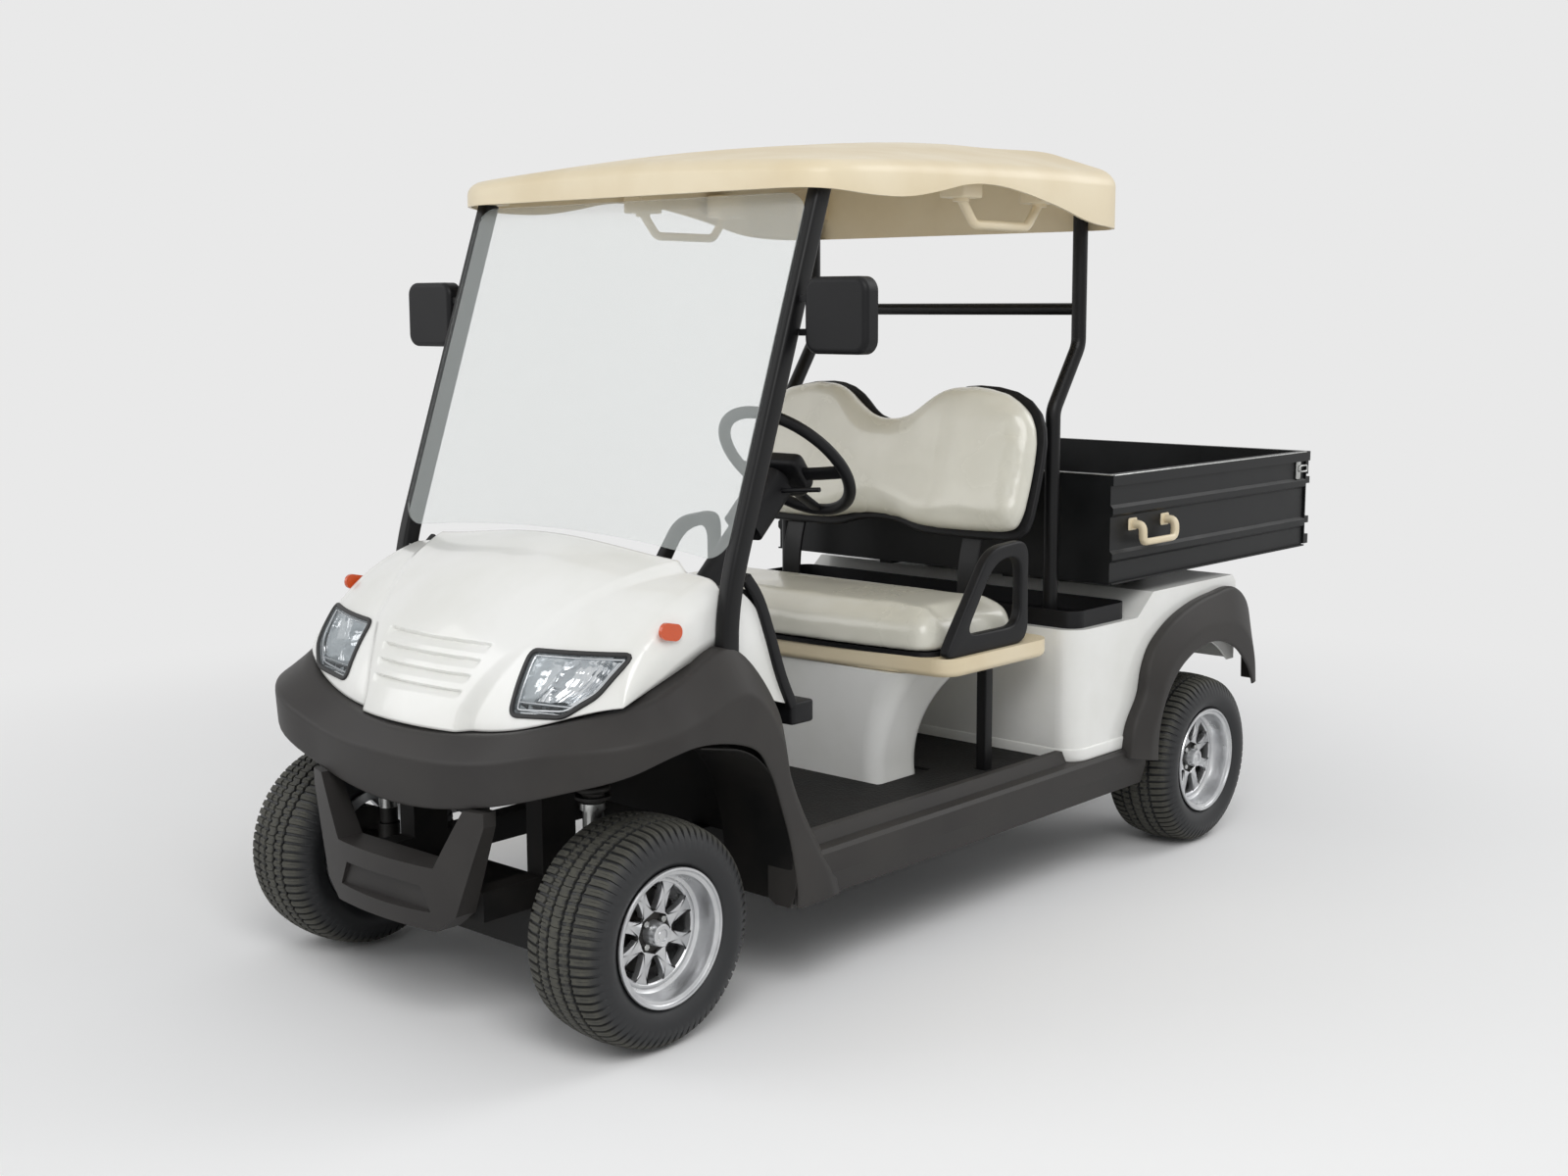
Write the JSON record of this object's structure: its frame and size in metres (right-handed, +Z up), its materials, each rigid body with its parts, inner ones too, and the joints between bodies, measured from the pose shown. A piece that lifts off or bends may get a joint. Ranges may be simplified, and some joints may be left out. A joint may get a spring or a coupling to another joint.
{
  "type": "electric utility vehicle",
  "caption": "Small open-sided electric utility vehicle with a roof, bench seat, moulded nose and tipping cargo bed; the wheels, steering, seat lid, bed and tailgate move.",
  "frame": {"origin": "on the ground under the middle of the vehicle's length and width", "axes": "+X forward, +Y to the vehicle's left, +Z up"},
  "size_m": [2.95, 1.476, 1.8732],
  "materials": {
    "white_moulding": "gloss",
    "grey_moulding": "satin",
    "cream_moulding": "satin",
    "black_tube": "satin",
    "chassis_paint": "matte",
    "black_moulding": "matte",
    "vinyl": "satin",
    "mat_rubber": "matte",
    "bed_paint": "satin",
    "tyre": "matte",
    "alloy": "satin",
    "clear_glass": "gloss",
    "mirror": "gloss",
    "reflector": "gloss",
    "amber_lens": "gloss",
    "running_gear": "matte"
  },
  "bodies": {
    "chassis": {"battery_pack": "black_moulding", "bumper_guard": "grey_moulding", "chassis_frame": "chassis_paint", "dashboard": "black_moulding", "driver_controls": "black_moulding", "floor_mat": "mat_rubber", "floor_pan": "chassis_paint", "front_cowl": "white_moulding", "front_fender": "grey_moulding", "front_pillars": "black_tube", "front_suspension": "running_gear", "headlamp_housings": "reflector", "headlamp_lenses": "clear_glass", "mirror_glass": "mirror", "mirror_housings": "black_moulding", "rear_axle": "chassis_paint", "rear_body": "white_moulding", "rear_flares": "grey_moulding", "rear_pillars": "black_tube", "rear_tray": "black_moulding", "roof": "cream_moulding", "roof_handles": "cream_moulding", "seat_back_cushion": "vinyl", "seat_back_shell": "black_moulding", "seat_frame": "black_tube", "seat_pedestal": "white_moulding", "seat_trim": "cream_moulding", "side_sills": "grey_moulding", "signal_lamps": "amber_lens", "windscreen": "clear_glass"},
    "seat_lid": {"seat_pan": "black_moulding", "seat_cushion": "vinyl"},
    "knuckle_left": {"knuckle_left": "running_gear"},
    "knuckle_right": {"knuckle_right": "running_gear"},
    "track_rod": {"track_rod": "running_gear"},
    "steering_wheel": {"steering_wheel": "black_moulding"},
    "wheel_front_left": {"tyre_front_left": "tyre", "rim_front_left": "alloy"},
    "wheel_front_right": {"tyre_front_right": "tyre", "rim_front_right": "alloy"},
    "wheel_rear_left": {"tyre_rear_left": "tyre", "rim_rear_left": "alloy"},
    "wheel_rear_right": {"tyre_rear_right": "tyre", "rim_rear_right": "alloy"},
    "bed": {"cargo_bed": "bed_paint", "bed_handles": "cream_moulding"},
    "tailgate": {"tailgate": "bed_paint"}
  },
  "joints": [
    {"name": "steer_left", "type": "hinge", "parent": "chassis", "child": "knuckle_left", "pos_m": [1.2, 0.345, 0.23], "axis": [0, 0, 1], "range_deg": [-30, 30]},
    {"name": "steer_right", "type": "hinge", "parent": "chassis", "child": "knuckle_right", "pos_m": [1.2, -0.345, 0.23], "axis": [0, 0, 1], "range_deg": [-30, 30]},
    {"name": "track_rod_slide", "type": "slide", "parent": "chassis", "child": "track_rod", "axis": [0, 1, 0], "range_m": [-0.062, 0.062]},
    {"name": "steering_wheel_turn", "type": "hinge", "parent": "chassis", "child": "steering_wheel", "pos_m": [0.53, 0.27, 1.108], "axis": [-0.722, 0, 0.6919], "range_deg": [-430, 430]},
    {"name": "wheel_front_left_spin", "type": "hinge", "parent": "knuckle_left", "child": "wheel_front_left", "pos_m": [1.2, 0.477, 0.23], "axis": [0, 1, 0], "continuous": true},
    {"name": "wheel_front_right_spin", "type": "hinge", "parent": "knuckle_right", "child": "wheel_front_right", "pos_m": [1.2, -0.477, 0.23], "axis": [0, 1, 0], "continuous": true},
    {"name": "wheel_rear_left_spin", "type": "hinge", "parent": "chassis", "child": "wheel_rear_left", "pos_m": [-0.78, 0.539, 0.23], "axis": [0, 1, 0], "continuous": true},
    {"name": "wheel_rear_right_spin", "type": "hinge", "parent": "chassis", "child": "wheel_rear_right", "pos_m": [-0.78, -0.539, 0.23], "axis": [0, 1, 0], "continuous": true},
    {"name": "seat_lid_lift", "type": "hinge", "parent": "chassis", "child": "seat_lid", "pos_m": [0.315, 0, 0.645], "axis": [0, 1, 0], "range_deg": [0, 75]},
    {"name": "bed_tip", "type": "hinge", "parent": "chassis", "child": "bed", "pos_m": [-1.048, 0, 0.736], "axis": [0, -1, 0], "range_deg": [0, 45]},
    {"name": "tailgate_fold", "type": "hinge", "parent": "bed", "child": "tailgate", "pos_m": [-1.4585, 0, 0.76], "axis": [0, -1, 0], "range_deg": [0, 90]}
  ],
  "couplings": [
    {"joint": "steer_right", "follows": "steer_left", "ratio": 1},
    {"joint": "track_rod_slide", "follows": "steer_left", "m_per_rad": -0.115},
    {"joint": "steering_wheel_turn", "follows": "steer_left", "ratio": 14}
  ]
}
